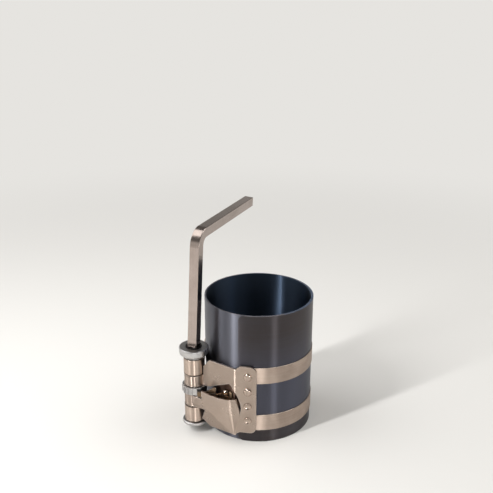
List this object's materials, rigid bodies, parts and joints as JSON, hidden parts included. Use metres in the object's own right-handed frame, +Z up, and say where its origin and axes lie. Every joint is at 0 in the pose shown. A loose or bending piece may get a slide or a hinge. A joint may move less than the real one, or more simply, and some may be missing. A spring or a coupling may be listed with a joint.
{
  "type": "piston ring compressor",
  "caption": "Ratcheting piston ring compressor: a wound spring steel sleeve drawn in by steel bands that wind onto an upright spindle turned by a square bent key and held by a spring pawl.",
  "frame": {"origin": "on the sleeve's axis, in the plane of the sleeve's lower edge", "axes": "+Z up along the sleeve's axis, the spindle stands on the -X side"},
  "size_m": [0.0918, 0.0873, 0.1401],
  "materials": {
    "blued_steel": "blued spring steel, satin",
    "band_steel": "nickel-plated strip, satin",
    "bracket_steel": "nickel-plated pressing, satin",
    "turned_steel": "zinc-plated turned steel",
    "key_steel": "nickel-plated drawn square bar",
    "pawl_steel": "plated pressed steel",
    "fastener_steel": "plated steel",
    "spring_wire": "bright drawn wire"
  },
  "bodies": {
    "frame": {"sleeve": "blued_steel", "upper_band": "band_steel", "lower_band": "band_steel", "bracket": "bracket_steel", "plate_screws": "fastener_steel", "plate_rivets": "fastener_steel", "pawl_pin": "fastener_steel", "pawl_spring": "spring_wire"},
    "spindle": {"spindle": "turned_steel", "drive_collar": "turned_steel", "ratchet_wheel": "turned_steel", "spindle_foot": "turned_steel", "upper_band_turns": "band_steel", "lower_band_turns": "band_steel"},
    "pawl": {"pawl": "pawl_steel"},
    "key": {"key": "key_steel"}
  },
  "joints": [
    {"name": "spindle_turn", "type": "hinge", "parent": "frame", "child": "spindle", "pos_m": [-0.04622, 0, 0.03], "axis": [0, 0, 1], "continuous": true},
    {"name": "key_lift", "type": "slide", "parent": "spindle", "child": "key", "axis": [0.033, -0.0384, 0.9987], "range_m": [0, 0.03]},
    {"name": "pawl_release", "type": "hinge", "parent": "frame", "child": "pawl", "pos_m": [-0.03255, -0.01973, 0.0312], "axis": [0, 0, 1], "range_deg": [-3.4, 1.1], "stiffness_Nm_per_rad": 0.002}
  ]
}
